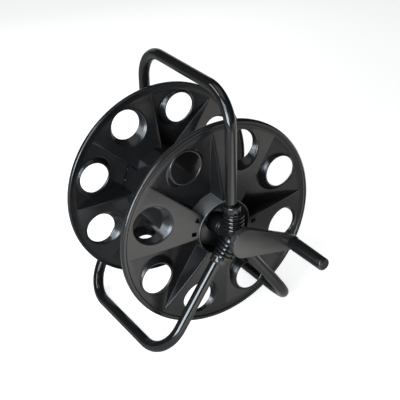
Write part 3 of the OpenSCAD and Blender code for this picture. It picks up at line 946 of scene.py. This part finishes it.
def make_camera():
    az, el = CAMERA_AZIMUTH, CAMERA_ELEVATION
    back = Vector((sin(az) * cos(el), -cos(az) * cos(el), sin(el)))
    right = (-back).cross(Vector((0, 0, 1))).normalized()
    down = (-back).cross(right)
    c, s = cos(CAMERA_ROLL), sin(CAMERA_ROLL)
    rolled_right = right * c + down * s
    rolled_down = down * c - right * s
    data = bpy.data.cameras.new("camera")
    data.sensor_width = SENSOR_MM
    data.lens = FOCAL_MM
    data.clip_start = 0.05
    camera = bpy.data.objects.new("camera", data)
    bpy.context.collection.objects.link(camera)
    place = Vector((0, 0, AXLE_Z * MM)) + back * CAMERA_DISTANCE + rolled_right * CAMERA_SIDESTEP
    turn = Matrix((rolled_right, -rolled_down, back)).transposed()
    camera.matrix_world = Matrix.Translation(place) @ turn.to_4x4()
    bpy.context.scene.camera = camera


# ---- floor and room -------------------------------------------------------------------

FLOOR_HALF = 12
# Glow of the bright patch, of the rest and of the right side, and of the floor seen directly
PATCH_GLOW = 1.9
REST_GLOW = 0.2
SIDE_GLOW = 1.2
SEEN_GLOW = 0.75
FLOOR_COLOR = (0.3, 0.3, 0.3, 1)
FLOOR_COLOR_SEEN = (0.85, 0.85, 0.85, 1)
GLOW_COLOR = (1.0, 0.965, 0.92, 1)
GLOW_COLOR_SEEN = (1, 1, 1, 1)
# The patch fades in and out over these distances (m): across from the left, ahead of the reel
PATCH_LEFT, PATCH_RIGHT = (-0.5, -0.12), (0.08, 0.32)
PATCH_NEAR, PATCH_FAR = (0.1, 0.5), (0.8, 1.5)
PATCH_BEYOND = 0.35
SIDE_START = (0.5, 0.7)
ROOM_LIGHT = 0.04
ROOM_SEEN = 1.0


def make_floor():
    """A pale floor that lights the reel from below, brightest in front of it."""
    mesh = bpy.data.meshes.new("floor")
    h = FLOOR_HALF
    mesh.from_pydata([(-h, -h, 0), (h, -h, 0), (h, h, 0), (-h, h, 0)], [], [(0, 1, 2, 3)])
    floor = bpy.data.objects.new("floor", mesh)
    bpy.context.collection.objects.link(floor)
    mat = bpy.data.materials.new("pale_floor")
    mat.use_nodes = True
    tree = mat.node_tree
    shader = tree.nodes["Principled BSDF"]
    shader.inputs["Roughness"].default_value = 0.9
    shader.inputs["Specular IOR Level"].default_value = 0.0

    place = add_node(tree, "NewGeometry").outputs["Position"]
    position = add_node(tree, "SeparateXYZ", {"Vector": place}).outputs
    x, ahead = position["X"], math_node(tree, "MULTIPLY", position["Y"], -1)

    def step(source, old, new):
        return remap(tree, source, old, new, "SMOOTHSTEP")

    def times(a, b):
        return math_node(tree, "MULTIPLY", a, b)

    across = times(step(x, PATCH_LEFT, (0, 1)), step(x, PATCH_RIGHT, (1, 0)))
    away = times(step(ahead, PATCH_NEAR, (0, 1)), step(ahead, PATCH_FAR, (1, PATCH_BEYOND)))
    side = step(x, SIDE_START, (REST_GLOW, SIDE_GLOW))
    glow = math_node(tree, "MULTIPLY_ADD", times(across, away), PATCH_GLOW, side)
    # Seen directly, the floor is plain and pale all over
    seen = add_node(tree, "LightPath").outputs["Is Camera Ray"]
    looks = {
        "Emission Strength": mixed(tree, seen, glow, SEEN_GLOW, "FLOAT"),
        "Emission Color": mixed(tree, seen, GLOW_COLOR, GLOW_COLOR_SEEN),
        "Base Color": mixed(tree, seen, FLOOR_COLOR, FLOOR_COLOR_SEEN),
    }
    for socket, source in looks.items():
        tree.links.new(source, shader.inputs[socket])
    floor.data.materials.append(mat)


def make_room():
    """A dim room that looks pale to the camera, so that only the softboxes draw highlights."""
    world = bpy.data.worlds.new("studio")
    bpy.context.scene.world = world
    world.use_nodes = True
    tree = world.node_tree
    dim = tree.nodes["Background"]
    dim.inputs["Color"].default_value = (1, 1, 1, 1)
    dim.inputs["Strength"].default_value = ROOM_LIGHT
    pale = add_node(tree, "Background", {"Color": (1, 1, 1, 1), "Strength": ROOM_SEEN})
    seen = add_node(tree, "LightPath").outputs["Is Camera Ray"]
    mix = add_node(tree, "MixShader", {0: seen, 1: dim.outputs[0], 2: pale.outputs[0]})
    tree.links.new(mix.outputs["Shader"], tree.nodes["World Output"].inputs["Surface"])


# ---- lights ---------------------------------------------------------------------------

SOFTBOX_DISTANCE = 1.6
WHITE = (1, 1, 1)
COOL = (0.82, 0.92, 1.0)
WARM = (1.0, 0.97, 0.92)
# Name, azimuth and elevation (degrees), size (m), radiance, colour
SOFTBOXES = (
    ("left_window", 208, 33, (0.9, 0.7), 7, COOL),
    ("low_window", 210, 10, (0.95, 0.62), 16, COOL),
    ("upper_left", 160, 46, (0.9, 0.35), 7, WARM),
    ("overhead", 240, 84, (1.2, 1.2), 0.8, WHITE),
    ("front_fill", 243, 22, (0.8, 0.6), 0.8, WHITE),
    ("back_wall", 75, 20, (1.6, 0.8), 0.5, WHITE),
)


def make_softbox(name, azimuth, elevation, size, radiance, color):
    """A rectangular light that faces the middle of the drum; its power follows from its radiance."""
    az, el = radians(azimuth), radians(elevation)
    outward = Vector((cos(el) * cos(az), cos(el) * sin(az), sin(el)))
    data = bpy.data.lights.new(name, "AREA")
    data.shape = "RECTANGLE"
    data.size, data.size_y = size
    data.energy = radiance * pi * size[0] * size[1]
    data.color = color
    light = bpy.data.objects.new(name, data)
    bpy.context.collection.objects.link(light)
    light.location = Vector((0, 0, AXLE_Z * MM)) + SOFTBOX_DISTANCE * outward
    light.rotation_mode = "QUATERNION"
    light.rotation_quaternion = (-outward).to_track_quat("-Z", "Y")


make_floor()
make_room()
for softbox in SOFTBOXES:
    make_softbox(*softbox)
make_camera()
bpy.context.scene.view_settings.view_transform = "Standard"
